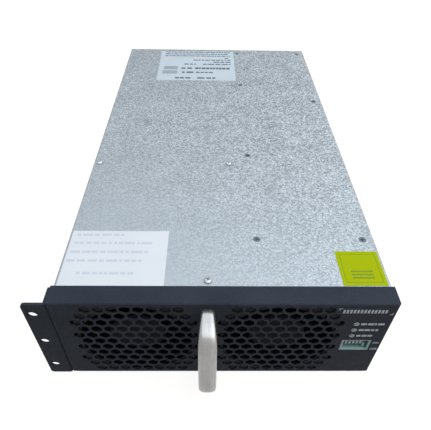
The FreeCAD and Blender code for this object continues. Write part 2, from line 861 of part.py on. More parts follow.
def fan_stator(centre_x):
    """The motor's wound core, a ring on the bearing tube."""
    start = hub_front + fan_hub_wall + 2 * fan_base_gap
    place = V(centre_x, start, middle_z)
    length = fan_base_front - start
    ring = rod(place, ALONG_Y, fan_hub_diameter - 2 * fan_hub_wall - 2 * fan_stator_gap, length)
    return ring.cut(rod(place, ALONG_Y, 2 * bearing_radius + 2 * fan_shaft_clearance, length))


def indicator_board():
    low_x, high_x, low_z, high_z = indicator_outline()
    return box(low_x, high_x, indicator_front, indicator_front + board_sheet, low_z, high_z)


def indicator_posts():
    """Posts fixed to the back of the panel that carry the indicator board."""
    return [hexagon(p.x, p.y, p.z, post_flat, indicator_spacer) for p in post_places()]


def indicator_lens(place):
    """A light pipe through the panel, with a collar behind it."""
    length = indicator_front - front + lens_proud
    pipe = rod(place - ALONG_Y * lens_proud, ALONG_Y, lens_diameter, length)
    pipe = pipe.makeChamfer(lens_edge, edges_at_y(pipe, front - lens_proud))
    collar = rod(V(place.x, panel_back, place.z), ALONG_Y, lens_collar_diameter, lens_collar)
    return pipe.fuse(collar)


def switch_slots():
    """The middles of the switch block's slots across the front."""
    return [switch_x + (k - (switch_count - 1) / 2) * switch_pitch for k in range(switch_count)]


def switch_block(y0, y1):
    return box(switch_x - switch_half_width, switch_x + switch_half_width, y0, y1,
               switch_z - switch_half_height, switch_z + switch_half_height)


def switch_cover():
    """The switch block's face: a rim round a pocket, with a slot for each knob."""
    half_width = switch_half_width - switch_rim_wall
    half_height = switch_half_height - switch_rim_wall
    cuts = [box(switch_x - half_width, switch_x + half_width, switch_front - PAST, pocket_floor,
                switch_z - half_height, switch_z + half_height)]
    for x in switch_slots():
        cuts.append(box(x - slot_width / 2, x + slot_width / 2, pocket_floor - PAST, channel_front + PAST,
                        switch_z - slot_height / 2, switch_z + slot_height / 2))
    return switch_block(switch_front, channel_front).cut(cuts)


def switch_base():
    """The switch block's rear half, with a channel for each slider's foot."""
    half_width = knob_foot_width / 2 + switch_run
    half_height = (knob_foot_height + switch_travel) / 2 + switch_run
    depth = knob_foot_depth + 2 * switch_run
    channels = [box(x - half_width, x + half_width, channel_front - PAST, channel_front + depth,
                    switch_z - half_height, switch_z + half_height) for x in switch_slots()]
    return switch_block(channel_front, indicator_front).cut(channels)


def switch_slider(index):
    """One slider: a knob through the face on a wider foot behind it."""
    x = switch_slots()[index]
    z = switch_z + (switch_travel / 2 if index < switches_up else -switch_travel / 2)
    foot_front = channel_front + switch_run
    knob = box(x - knob_width / 2, x + knob_width / 2, pocket_floor - knob_proud, foot_front,
               z - knob_height / 2, z + knob_height / 2)
    foot = box(x - knob_foot_width / 2, x + knob_foot_width / 2, foot_front, foot_front + knob_foot_depth,
               z - knob_foot_height / 2, z + knob_foot_height / 2)
    return knob.fuse(foot)


def standoff_places():
    """The middles of the posts under the power board."""
    first = board_front + standoff_inset
    last = board_rear - standoff_rear_inset
    step = (last - first) / (standoff_rows - 1)
    x = board_half - standoff_inset
    return [V(side * x, first + k * step, floor_top) for k in range(standoff_rows) for side in (-1, 1)]


def main_board():
    board = box(-board_half, board_half, board_front, board_rear, board_bottom, board_top)
    holes = [rod(p, ALONG_Z, small_shank + 2 * screw_fit, 2 * standoff_height) for p in standoff_places()]
    return board.cut(holes)


def board_standoffs():
    posts = []
    for place in standoff_places():
        post = hex_post(place.x, place.y, place.z, standoff_flat, standoff_height)
        top = V(place.x, place.y, board_bottom)
        posts.append(post.cut(clear_hole(top, -ALONG_Z, small_shank, board_screw_length)))
    return posts


def board_screws():
    return [pan_head(V(p.x, p.y, board_top), -ALONG_Z, small_head, small_head_height, small_shank,
                     board_screw_length) for p in standoff_places()]


def heatsink(column, facing):
    """A plate with level fins on one side, standing on the power board and reaching the cover."""
    half = heatsink_plate / 2
    fins = int((cover_under - board_top - heatsink_fin_start) / heatsink_fin_pitch)
    tip = facing * (half + heatsink_fin_length)
    sink = box(column - half, column + half, heatsink_front, heatsink_rear, board_top, cover_under)
    blades = []
    for k in range(fins):
        z = board_top + heatsink_fin_start + k * heatsink_fin_pitch
        blades.append(box(column + min(0, tip), column + max(0, tip), heatsink_front, heatsink_rear,
                          z, z + heatsink_fin))
    holes = []
    for place in heatsink_screw_places():
        if abs(place.x - column) < half:
            holes.append(flat_head_hole(place, -ALONG_Z, cover_screw_length + stud_end))
    return sink.fuse(blades).removeSplitter().cut(holes)


def power_transistors():
    """Flat packages on the faces of the heatsinks, each on three leads."""
    bottom = board_top + transistor_lead_length
    parts = []
    for column, facing in ((inner_column, 1), (outer_column, -1)):
        face = column + facing * heatsink_plate / 2
        x0 = min(face, face + facing * transistor_thickness)
        middle = x0 + transistor_thickness / 2
        for k in range(transistor_count):
            y = heatsink_front + transistor_from_end + k * transistor_pitch
            body = box(x0, x0 + transistor_thickness, y - transistor_width / 2, y + transistor_width / 2,
                       bottom, bottom + transistor_height)
            half = transistor_lead_width / 2
            leads = []
            for lead in (-1, 0, 1):
                at = y + lead * transistor_lead_pitch
                leads.append(box(middle - half, middle + half, at - half, at + half, board_top, bottom))
            parts.append(body.fuse(leads))
    return parts


def bulk_capacitors():
    """A block of round capacitors at the left front of the power board."""
    pitch = capacitor_diameter + capacitor_gap
    x0 = -board_half + capacitor_from_edge + standoff_inset + capacitor_diameter / 2
    y0 = board_front + capacitor_from_edge + capacitor_diameter / 2
    return [rod(V(x0 + i * pitch, y0 + k * pitch, board_top), ALONG_Z, capacitor_diameter, capacitor_height)
            for i in range(capacitor_columns) for k in range(capacitor_rows)]


def film_capacitors():
    """A row of box capacitors beside the inner heatsink."""
    x1 = inner_column - heatsink_plate / 2 - film_gap
    y0 = board_front + capacitor_from_edge
    boxes = []
    for k in range(film_count):
        y = y0 + k * (film_length + film_gap)
        boxes.append(box(x1 - film_width, x1, y, y + film_length, board_top, board_top + film_height))
    return boxes


def magnetics_places():
    """Left front bottom corners of the transformer, the output choke and the input choke."""
    x = -board_half + magnetics_from_edge
    transformer_y = board_rear - magnetics_from_edge - transformer_size[1]
    output_y = transformer_y - magnetics_gap - output_choke_size[1]
    input_x = duct_x - input_choke_size[0] / 2
    input_y = board_front + fuse_from_front + fuse_size[1] + 2 * fuse_blade_length + magnetics_gap
    return (V(x, transformer_y, board_top), V(x, output_y, board_top), V(input_x, input_y, board_top))


def core_windows(corner, size):
    """The two windows of an E core, as boxes that run right through it."""
    leg = size[0] * core_leg_share
    side = leg / 2
    window = (size[0] - leg - 2 * side) / 2
    boxes = []
    for x in (corner.x + side, corner.x + side + window + leg):
        boxes.append(box(x, x + window, corner.y - winding_overhang, corner.y + size[1] + winding_overhang,
                         corner.z + core_yoke, corner.z + size[2] - core_yoke))
    return boxes


def ferrite_core(corner, size):
    """A pair of E cores with a leg in the middle."""
    block = box(corner.x, corner.x + size[0], corner.y, corner.y + size[1], corner.z, corner.z + size[2])
    return block.cut(core_windows(corner, size))


def winding(corner, size):
    """The coil round the middle leg, which rests on the lower yoke."""
    leg = size[0] * core_leg_share
    side = leg / 2
    x0 = corner.x + side + core_play
    x1 = corner.x + size[0] - side - core_play
    y0 = corner.y - winding_overhang
    y1 = corner.y + size[1] + winding_overhang
    z0 = corner.z + core_yoke
    z1 = corner.z + size[2] - core_yoke - core_play
    middle = corner.x + size[0] / 2
    hole = box(middle - leg / 2 - core_play, middle + leg / 2 + core_play, corner.y - core_play,
               corner.y + size[1] + core_play, z0 - PAST, z1 + PAST)
    coil = box(x0, x1, y0, y1, z0, z1)
    corners = [e for e in coil.Edges if abs(e.Vertexes[0].Z - e.Vertexes[1].Z) > (z1 - z0) / 2]
    return coil.makeChamfer(winding_overhang / 2, corners).cut(hole)


def input_fuse():
    """A square fuse body whose end blades stand on the power board."""
    half = fuse_size[0] / 2
    y0 = board_front + fuse_from_front + fuse_blade_length
    y1 = y0 + fuse_size[1]
    z0 = board_top + fuse_lift
    body = box(duct_x - half, duct_x + half, y0, y1, z0, z0 + fuse_size[2])
    middle = z0 + fuse_size[2] / 2
    blades = []
    for start, end in ((y0 - fuse_blade_length, y0), (y1, y1 + fuse_blade_length)):
        tip = start if start < y0 else end - fuse_blade
        blades.append(box(duct_x - half / 2, duct_x + half / 2, start, end, middle, middle + fuse_blade))
        blades.append(box(duct_x - half / 2, duct_x + half / 2, tip, tip + fuse_blade, board_top, middle))
    return body.fuse(blades)


def control_place():
    """Left face and front edge of the control board, which stands between the heatsinks."""
    return duct_x - board_sheet / 2, board_rear - control_from_rear - control_board_size[0]


def control_board():
    x, y = control_place()
    z = board_top + control_header[2]
    return box(x, x + board_sheet, y, y + control_board_size[0], z, z + control_board_size[1])


def control_header_strip():
    """The strip that joins the control board to the power board."""
    x, y = control_place()
    start = y + (control_board_size[0] - control_header[1]) / 2
    middle = x + board_sheet / 2
    half = control_header[0] / 2
    return box(middle - half, middle + half, start, start + control_header[1], board_top,
               board_top + control_header[2])


def contact_places():
    """Left edges of the power contacts across the connector."""
    start = duct_x - connector_size[0] / 2 + contact_pitch / 2
    return [start + k * contact_pitch for k in range(contact_count)]


def pin_places():
    """Left and lower edges of the signal pins, in two rows beside the power contacts."""
    start = contact_places()[-1] + contact_pitch
    middle = board_top + connector_size[2] / 2
    rows = (middle - pin_pitch - pin_width / 2, middle + pin_pitch - pin_width / 2)
    return [(start + k * pin_pitch, z) for k in range(pin_count // 2) for z in rows]


def contact_slot(x, fit, recess):
    """A power contact, or with a fit and no recess the slot that holds it."""
    z = board_top + (connector_size[2] - contact_height) / 2
    end = rear + connector_proud - recess
    return box(x - fit, x + contact_width + fit, connector_front, end, z - fit, z + contact_height + fit)


def pin_slot(x, z, fit, recess):
    """A signal pin, or with a fit and no recess the hole that holds it."""
    end = rear + connector_proud - recess
    return box(x - fit, x + pin_width + fit, connector_front, end, z - fit, z + pin_width + fit)


def rear_connector():
    """A block on the power board's rear edge that passes through the rear panel, with its slots."""
    half = connector_size[0] / 2
    block = box(duct_x - half, duct_x + half, connector_front, rear + connector_proud, board_top,
                board_top + connector_size[2])
    slots = [contact_slot(x, contact_fit, 0) for x in contact_places()]
    slots += [pin_slot(x, z, contact_fit, 0) for x, z in pin_places()]
    return block.cut(slots)


def power_contacts():
    return [contact_slot(x, 0, contact_recess) for x in contact_places()]


def signal_pins():
    return [pin_slot(x, z, 0, contact_recess) for x, z in pin_places()]


def bus_bars():
    """Two copper bars on the power board that end at the connector."""
    y1 = connector_front
    middle = (contact_places()[0] + contact_places()[-1] + contact_width) / 2
    bars = []
    for side in (-1, 1):
        x = middle + side * (bar_size[0] + bar_gap) / 2
        bars.append(box(x - bar_size[0] / 2, x + bar_size[0] / 2, y1 - bar_size[1], y1, board_top,
                        board_top + bar_size[2]))
    return bars


def save(name, shape):
    """Writes one node, where a list becomes a group of separate solids."""
    if isinstance(shape, list):
        shape = Part.makeCompound(shape)
    shape.exportStep("parts/%s.step" % name)


def main():
    os.makedirs("parts", exist_ok=True)
    save("base_tray", base_tray())
    save("top_cover", top_cover())
    save("rear_panel", rear_panel())
    save("front_panel", front_panel())
    save("rack_ear", rack_ear())
    save("pull_handle", pull_handle())
    save("handle_screws", handle_screws())
    save("panel_screws", panel_screws())
    save("panel_nuts", panel_nuts())
    save("cover_screws", cover_screws())
    save("pan_screws", pan_screws())
    save("side_screws", side_screws())
    save("fan_divider", fan_divider())
    save("cover_stiffener", cover_stiffener())
    save("rating_label", rating_label())
    save("plain_label", plain_label())
    save("yellow_label", yellow_label())
    save("fan_studs", fan_studs())
    save("fan_nuts", fan_nuts())
    for side, x in (("left", fan_left_x), ("right", fan_right_x)):
        save("fan_frame_" + side, fan_frame(x))
        save("fan_rotor_" + side, fan_rotor(x))
        save("fan_stator_" + side, fan_stator(x))
    save("indicator_board", indicator_board())
    save("indicator_posts", indicator_posts())
    for k, place in enumerate(lens_places(), 1):
        save("indicator_lens_%d" % k, indicator_lens(place))
    save("switch_cover", switch_cover())
    save("switch_base", switch_base())
    for k in range(switch_count):
        save("switch_slider_%d" % (k + 1), switch_slider(k))
    save("main_board", main_board())
    save("board_standoffs", board_standoffs())
    save("board_screws", board_screws())
    save("heatsink_inner", heatsink(inner_column, 1))
    save("heatsink_outer", heatsink(outer_column, -1))
    save("power_transistors", power_transistors())
    save("bulk_capacitors", bulk_capacitors())
    save("film_capacitors", film_capacitors())
    sizes = (transformer_size, output_choke_size, input_choke_size)
    names = ("transformer", "output_choke", "input_choke")
    for name, corner, size in zip(names, magnetics_places(), sizes):
        save(name + "_core", ferrite_core(corner, size))
        save(name + "_winding", winding(corner, size))
    save("input_fuse", input_fuse())
    save("control_board", control_board())
    save("control_header", control_header_strip())
    save("rear_connector", rear_connector())
    save("power_contacts", power_contacts())
    save("signal_pins", signal_pins())
    save("bus_bars", bus_bars())


main()
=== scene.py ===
import json
import math
import random

import bmesh
import bpy
from mathutils import Matrix, Vector


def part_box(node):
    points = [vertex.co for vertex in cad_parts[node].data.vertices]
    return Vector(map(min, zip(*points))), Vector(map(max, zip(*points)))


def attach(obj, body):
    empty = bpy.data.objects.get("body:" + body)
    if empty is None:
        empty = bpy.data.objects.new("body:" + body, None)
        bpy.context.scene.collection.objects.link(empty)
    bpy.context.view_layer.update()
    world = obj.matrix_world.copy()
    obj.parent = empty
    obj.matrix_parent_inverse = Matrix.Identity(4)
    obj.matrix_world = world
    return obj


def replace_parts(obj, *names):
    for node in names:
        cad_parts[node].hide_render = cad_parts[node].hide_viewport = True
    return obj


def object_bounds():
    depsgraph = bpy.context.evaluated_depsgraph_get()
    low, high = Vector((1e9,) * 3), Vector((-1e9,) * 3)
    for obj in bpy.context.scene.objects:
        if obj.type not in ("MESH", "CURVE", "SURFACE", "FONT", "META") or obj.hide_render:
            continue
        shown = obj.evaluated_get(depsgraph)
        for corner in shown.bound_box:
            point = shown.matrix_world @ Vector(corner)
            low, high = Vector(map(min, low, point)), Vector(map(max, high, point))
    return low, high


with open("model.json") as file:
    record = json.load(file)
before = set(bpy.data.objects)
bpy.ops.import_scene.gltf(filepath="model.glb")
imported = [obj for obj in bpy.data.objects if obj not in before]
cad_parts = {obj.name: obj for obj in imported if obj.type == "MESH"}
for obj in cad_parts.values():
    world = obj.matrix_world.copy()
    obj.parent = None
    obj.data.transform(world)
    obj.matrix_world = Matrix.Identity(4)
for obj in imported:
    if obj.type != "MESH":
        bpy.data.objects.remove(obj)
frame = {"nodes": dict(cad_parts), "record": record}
nodes = frame["nodes"]
cad_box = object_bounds()
MM = 0.001
ROOT = "chassis"

# Camera: lengths in metres, turns in degrees, focal length in picture widths, sensor in millimetres
CAMERA_PLACE = (-0.01058, -0.36005, 0.31431)
CAMERA_YAW = 1.35
CAMERA_PITCH = 43.0
CAMERA_ROLL = -1.26
CAMERA_FOCAL = 432.1 / 431
CAMERA_SENSOR = 36
CAMERA_NEAREST = 0.01

# Screws, as in the CAD
SCREW_HEAD = 5.5 * MM
SCREW_SHANK = 3.0 * MM
SUNK_HEAD_HEIGHT = 1.15 * MM
RAISED_HEAD_HEIGHT = 2.0 * MM

# Print: how far it stands out, and the lengths and gaps of its words as multiples of a letter
LABEL_INK = 0.02 * MM
PANEL_INK = 0.03 * MM
WORD_LENGTHS = (1.2, 4.5)
WORD_GAPS = (0.45, 0.9)


class Look:
    """A procedural material round one Principled shader, with textures in metres."""

    def __init__(self, name, metallic=0.0, specular=0.5, coat=0.0, transmission=0.0):
        self.material = bpy.data.materials.new(name)
        self.material.use_nodes = True
        self.tree = self.material.node_tree
        self.shader = self.tree.nodes["Principled BSDF"]
        self.shader.inputs["Metallic"].default_value = metallic
        self.shader.inputs["Specular IOR Level"].default_value = specular
        self.shader.inputs["Coat Weight"].default_value = coat
        self.shader.inputs["Transmission Weight"].default_value = transmission
        self.coords = self.tree.nodes.new("ShaderNodeTexCoord").outputs["Object"]

    def node(self, kind, **settings):
        made = self.tree.nodes.new(kind)
        for key, value in settings.items():
            setattr(made, key, value)
        return made

    def link(self, output, target):
        self.tree.links.new(output, target)

    def places(self):
        """X, Y and Z of the surface, in metres."""
        split = self.node("ShaderNodeSeparateXYZ")
        self.link(self.coords, split.inputs[0])
        return split.outputs["X"], split.outputs["Y"], split.outputs["Z"]

    def stretched(self, scale):
        """Coordinates that stretch a texture along the axes whose scale is small."""
        mapping = self.node("ShaderNodeMapping")
        mapping.inputs["Scale"].default_value = scale
        self.link(self.coords, mapping.inputs["Vector"])
        return mapping.outputs["Vector"]

    def noise(self, size, detail=3.0, coords=None):
        """Soft noise with features of about that size."""
        made = self.node("ShaderNodeTexNoise")
        made.inputs["Scale"].default_value = 1 / size
        made.inputs["Detail"].default_value = detail
        self.link(coords or self.coords, made.inputs["Vector"])
        return made.outputs["Fac"]

    def grains(self, size, coords=None):
        """A random value for each grain of about that size."""
        made = self.node("ShaderNodeTexVoronoi")
        made.inputs["Scale"].default_value = 1 / size
        self.link(coords or self.coords, made.inputs["Vector"])
        split = self.node("ShaderNodeSeparateColor")
        self.link(made.outputs["Color"], split.inputs["Color"])
        return split.outputs["Red"]

    def bands(self, size, axis, distortion):
        """Waves of that length along the axis."""
        made = self.node("ShaderNodeTexWave", bands_direction=axis)
        made.inputs["Scale"].default_value = math.pi / (10 * size)
        made.inputs["Distortion"].default_value = distortion
        self.link(self.coords, made.inputs["Vector"])
        return made.outputs["Fac"]

    def blend(self, parts):
        """The weighted sum of several values."""
        total = None
        for output, weight in parts:
            term = self.node("ShaderNodeMath", operation="MULTIPLY")
            self.link(output, term.inputs[0])
            term.inputs[1].default_value = weight
            if total is None:
                total = term.outputs[0]
                continue
            add = self.node("ShaderNodeMath", operation="ADD")
            self.link(total, add.inputs[0])
            self.link(term.outputs[0], add.inputs[1])
            total = add.outputs[0]
        return total

    def contrast(self, output, factor):
        """The value with its distance from a half multiplied by the factor."""
        away = self.node("ShaderNodeMath", operation="SUBTRACT")
        self.link(output, away.inputs[0])
        away.inputs[1].default_value = 0.5
        made = self.node("ShaderNodeMath", operation="MULTIPLY_ADD")
        self.link(away.outputs[0], made.inputs[0])
        self.link(factor, made.inputs[1])
        made.inputs[2].default_value = 0.5
        return made.outputs[0]

    def spread(self, output, low, high, start=0.3, end=0.7):
        """Values from low to high while the output goes from start to end."""
        made = self.node("ShaderNodeMapRange")
        self.link(output, made.inputs["Value"])
        made.inputs["From Min"].default_value = start
        made.inputs["From Max"].default_value = end
        made.inputs["To Min"].default_value = low
        made.inputs["To Max"].default_value = high
        return made.outputs["Result"]

    def ramp(self, output, stops):
        """Colours between stops, each a place from 0 to 1 and its colour."""
        made = self.node("ShaderNodeValToRGB")
        elements = made.color_ramp.elements
        while len(elements) < len(stops):
            elements.new(0.5)
        for element, (place, colour) in zip(elements, stops):
            element.position = place
            element.color = (*colour, 1)
        self.link(output, made.inputs["Fac"])
        return made.outputs["Color"]

    def colour(self, output):
        self.link(output, self.shader.inputs["Base Color"])
        return self

    def rough(self, output):
        self.link(output, self.shader.inputs["Roughness"])
        return self

    def relief(self, output, depth):
        """Bumps of that depth."""
        made = self.node("ShaderNodeBump")
        made.inputs["Distance"].default_value = depth
        made.inputs["Strength"].default_value = 1.0
        self.link(output, made.inputs["Height"])
        self.link(made.outputs["Normal"], self.shader.inputs["Normal"])
        return self


def tinted(colour, factor):
    """The colour made lighter or darker by a factor."""
    return tuple(min(1.0, c * factor) for c in colour)


def plain_look(name, colour, rough, grain, depth, metallic=0.0, specular=0.5, vary=0.18):
    """A moulded or coated surface: soft cloudy tone, fine grain and uneven gloss."""
    look = Look(name, metallic, specular)
    cloud = look.blend([(look.noise(0.02), 0.5), (look.noise(grain * 3), 0.5)])
    look.colour(look.ramp(cloud, [(0.3, tinted(colour, 1 - vary)), (0.7, tinted(colour, 1 + vary))]))
    look.rough(look.spread(look.noise(grain * 6), rough - 0.06, rough + 0.06))
    return look.relief(look.noise(grain, detail=2.0), depth)


def galvanised_look():
    """Zinc with painted shade that darkens it towards the rear. Its fine spangle is strongest at the rear
    right of the top and calm on the sides."""
    look = Look("galvanised", metallic=0.5)
    cover_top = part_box("top_cover")[1].z
    coarse = look.grains(0.0015)
    fine = look.grains(0.0009)
    dust = look.grains(0.0005)
    cloud = look.noise(0.03, detail=2.0)
    grain = look.blend([(coarse, 0.05), (fine, 0.57), (dust, 0.24), (cloud, 0.14)])
    x, y, z = look.places()
    across = look.spread(x, low=-0.05, high=0.9, start=-0.08, end=0.08)
    along = look.spread(y, low=0.0, high=1.45, start=-0.18, end=0.02)
    upper = look.spread(z, low=0.55, high=1.0, start=cover_top - 3.1 * MM, end=cover_top - 1.1 * MM)
    spangle = look.contrast(look.contrast(grain, upper), look.blend([(across, 0.9), (along, 0.9)]))
    # Painted shade: the tone darkens towards the rear of the cover, where less light falls
    painted_rear_shade = look.spread(y, low=0.035, high=-0.075, start=-0.2, end=0.2)
    tone = look.blend([(spangle, 1.0), (painted_rear_shade, 1.0)])
    look.colour(look.ramp(tone, [(0.0, (0.130, 0.147, 0.162)), (0.5, (0.328, 0.362, 0.391)),
                                 (1.0, (0.610, 0.660, 0.700))]))
    gloss = look.blend([(coarse, 0.6), (fine, 0.4)])
    look.rough(look.spread(gloss, low=0.42, high=0.58, start=0.2, end=0.8))
    return look.relief(look.blend([(coarse, 0.5), (look.noise(0.0008), 0.5)]), depth=0.00002)


def powder_look():
    """Black powder coat with a fine texture."""
    look = Look("black_powder", specular=0.05)
    grain = look.noise(0.0007, detail=2.0)
    cloud = look.blend([(look.noise(0.03), 0.35), (grain, 0.65)])
    look.colour(look.ramp(cloud, [(0.32, (0.0217, 0.0256, 0.0349)), (0.68, (0.0400, 0.0468, 0.0634))]))
    look.rough(look.spread(look.noise(0.004), low=0.52, high=0.68))
    return look.relief(grain, depth=0.00008)


def satin_look(name, colour, rough, run, metallic=1.0):
    """Drawn or brushed metal whose streaks run along the named axes."""
    look = Look(name, metallic)
    streak_scale = 0.04
    scale = [1.0, 1.0, 1.0]
    for axis in run:
        scale["XYZ".index(axis)] = streak_scale
    streaks = look.noise(0.0004, detail=2.0, coords=look.stretched(scale))
    broad = look.noise(0.0028, detail=2.0, coords=look.stretched(scale))
    cloud = look.noise(0.012, detail=2.0)
    tone = look.blend([(streaks, 0.3), (broad, 0.45), (cloud, 0.25)])
    look.colour(look.ramp(tone, [(0.36, tinted(colour, 0.78)), (0.64, tinted(colour, 1.16))]))
    look.rough(look.spread(look.blend([(streaks, 0.5), (cloud, 0.5)]), rough - 0.05, rough + 0.07))
    return look.relief(streaks, depth=0.000006)


def film_look(name, colour, specular=0.2):
    """Printed film with a faint weave and soft creases."""
    look = Look(name, specular=specular)
    cloud = look.blend([(look.noise(0.03), 0.7), (look.noise(0.0007), 0.3)])
    look.colour(look.ramp(cloud, [(0.3, tinted(colour, 0.96)), (0.7, tinted(colour, 1.03))]))
    look.rough(look.spread(look.noise(0.006), low=0.40, high=0.52))
    return look.relief(look.noise(0.0011, detail=2.0), depth=0.00001)


def board_look():
    """A solder-masked board with tracks and pads."""
    look = Look("circuit_board", coat=0.2)
    tracks = look.grains(0.0022, look.stretched((1, 0.35, 1)))
    weave = look.noise(0.0006)
    tone = look.blend([(tracks, 0.7), (weave, 0.3)])
    look.colour(look.ramp(tone, [(0.25, (0.010, 0.075, 0.035)), (0.6, (0.018, 0.13, 0.06)),
                                 (0.74, (0.03, 0.19, 0.09)), (0.8, (0.45, 0.42, 0.36))]))
    look.rough(look.spread(weave, low=0.32, high=0.45))
    return look.relief(tone, depth=0.00004)


def wound_look(name, light, dark, turn, axis):
    """Enamelled wire or laminations, as fine bands."""
    look = Look(name, metallic=0.8)
    bands = look.bands(turn, axis, distortion=0.6)
    tone = look.blend([(bands, 0.7), (look.noise(0.004), 0.3)])
    look.colour(look.ramp(tone, [(0.2, dark), (0.8, light)]))
    look.rough(look.spread(look.noise(0.003), low=0.30, high=0.45))
    return look.relief(bands, depth=0.0002)


def lens_look():
    """The indicators' milky plastic."""
    look = Look("clear_lens", specular=0.6, coat=0.5, transmission=0.25)
    cloud = look.noise(0.0012, detail=2.0)
    look.colour(look.ramp(cloud, [(0.3, (0.16, 0.17, 0.18)), (0.7, (0.26, 0.27, 0.29))]))
    look.rough(look.spread(look.noise(0.0008), low=0.12, high=0.22))
    return look.relief(cloud, depth=0.00002)


def switch_look():
    """Moulded plastic with painted shade that darkens it towards the bottom of its recess."""
    look = Look("switch_plastic", specular=0.3)
    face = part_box("switch_cover")[0].y
    y = look.places()[1]
    # Painted shade: the colour darkens from the switch's face to the bottom of its recess, where shade falls
    depth = look.spread(y, low=0.0, high=1.0, start=face + 0.3 * MM, end=face + 3.2 * MM)
    tone = look.blend([(depth, 0.8), (look.noise(0.002), 0.2)])
    look.colour(look.ramp(tone, [(0.08, (0.315, 0.475, 0.47)), (0.9, (0.09, 0.165, 0.17))]))
    look.rough(look.spread(look.noise(0.0024), low=0.34, high=0.46))
    return look.relief(look.noise(0.0004, detail=2.0), depth=0.00001)


# One look for each material slot of the record
plain_finishes = {
    "zinc_screw": dict(colour=(0.41, 0.43, 0.45), rough=0.38, grain=0.0004, depth=0.00001, metallic=0.75),
    "dark_screw": dict(colour=(0.112, 0.14, 0.162), rough=0.46, grain=0.0003, depth=0.00001, metallic=0.5),
    "fan_plastic": dict(colour=(0.0045, 0.0045, 0.0055), rough=0.50, grain=0.0005, depth=0.00001,
                        specular=0.07),
    "brass_post": dict(colour=(0.62, 0.50, 0.26), rough=0.30, grain=0.0005, depth=0.00001, metallic=1.0),
    "slider_plastic": dict(colour=(0.325, 0.44, 0.475), rough=0.34, grain=0.0004, depth=0.00001, vary=0.06),
    "epoxy": dict(colour=(0.018, 0.018, 0.020), rough=0.46, grain=0.0004, depth=0.00002),
    "capacitor_can": dict(colour=(0.02, 0.03, 0.075), rough=0.35, grain=0.0012, depth=0.00001),
    "film_box": dict(colour=(0.48, 0.36, 0.07), rough=0.32, grain=0.0008, depth=0.00001),
    "ferrite": dict(colour=(0.035, 0.035, 0.037), rough=0.62, grain=0.0007, depth=0.00003, vary=0.3),
    "fuse_body": dict(colour=(0.62, 0.59, 0.52), rough=0.38, grain=0.0010, depth=0.00002),
}
looks = {name: plain_look(name, **finish) for name, finish in plain_finishes.items()}
looks["black_powder"] = powder_look()
looks["galvanised"] = galvanised_look()
looks["satin_aluminium"] = satin_look("satin_aluminium", (0.335, 0.33, 0.325), rough=0.25, run="YZ",
                                      metallic=0.85)
looks["heatsink_aluminium"] = satin_look("heatsink_aluminium", (0.55, 0.56, 0.57), rough=0.34, run="Y")
looks["white_label"] = film_look("white_label", (0.69, 0.70, 0.725))
looks["yellow_label"] = film_look("yellow_label", (0.35, 0.414, 0.002), specular=0.04)
looks["motor_core"] = wound_look("motor_core", light=(0.42, 0.22, 0.11), dark=(0.10, 0.08, 0.07),
                                 turn=0.0008, axis="Y")
looks["copper"] = wound_look("copper", light=(0.62, 0.27, 0.12), dark=(0.24, 0.09, 0.04),
                             turn=0.0011, axis="Z")
looks["circuit_board"] = board_look()
looks["clear_lens"] = lens_look()
looks["switch_plastic"] = switch_look()

# Films and inks that no slot of the record has
rating_film = film_look("rating_film", (0.53, 0.59, 0.62))
white_ink = film_look("white_ink", (0.485, 0.555, 0.635))
grey_ink = film_look("grey_ink", (0.56, 0.58, 0.64))
dark_ink = film_look("dark_ink", (0.10, 0.12, 0.15))
olive_ink = film_look("olive_ink", (0.17, 0.25, 0.004))

for part in frame["record"]["subparts"]:
    mesh = nodes[part["node"]].data
    mesh.materials.clear()
    mesh.materials.append(looks[part["material_slot"]].material)
nodes["rating_label"].data.materials[0] = rating_film.material


def add_piece(name, bm, look, body=ROOT, smooth=None):
    """Turns a mesh in the frame's coordinates into a piece that rides on the body. Smooth is the angle, in
    degrees, up to which neighbouring faces are shaded as one."""
    mesh = bpy.data.meshes.new(name)
    bmesh.ops.recalc_face_normals(bm, faces=bm.faces)
    bm.to_mesh(mesh)
    bm.free()
    mesh.materials.append(look.material)
    if smooth is not None:
        mesh.shade_smooth()
        mesh.set_sharp_from_angle(angle=math.radians(smooth))
    piece = bpy.data.objects.new(name, mesh)
    bpy.context.scene.collection.objects.link(piece)
    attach(piece, body)
    return piece


def add_mesh(bm, mesh):
    """Adds a mesh that nothing else uses, and removes it."""
    bm.from_mesh(mesh)
    bpy.data.meshes.remove(mesh)


def add_box(bm, low, high):
    """One closed box between two corners."""
    xs, ys, zs = zip(low, high)
    verts = [bm.verts.new((x, y, z)) for x in xs for y in ys for z in zs]
    sides = ((0, 1, 3, 2), (4, 6, 7, 5), (0, 4, 5, 1), (2, 3, 7, 6), (0, 2, 6, 4), (1, 5, 7, 3))
    for side in sides:
        bm.faces.new([verts[corner] for corner in side])


def bridge(bm, first, second):
    """Faces between two closed rings with as many points each."""
    count = len(first)
    for k in range(count):
        j = (k + 1) % count
        bm.faces.new((first[k], first[j], second[j], second[k]))


def islands(name):
    """Boxes of the separate solids in a node, from its mesh."""
    mesh = nodes[name].data
    owner = {}
    keys = [tuple(round(c, 6) for c in v.co) for v in mesh.vertices]

    def find(key):
        while owner.setdefault(key, key) != key:
            owner[key] = owner[owner[key]]
            key = owner[key]
        return key

    for edge in mesh.edges:
        a, b = (find(keys[i]) for i in edge.vertices)
        owner[a] = b
    boxes = {}
    for key in set(keys):
        low, high = boxes.setdefault(find(key), (list(key), list(key)))
        for i in range(3):
            low[i] = min(low[i], key[i])
            high[i] = max(high[i], key[i])
    return sorted((Vector(low), Vector(high)) for low, high in boxes.values())


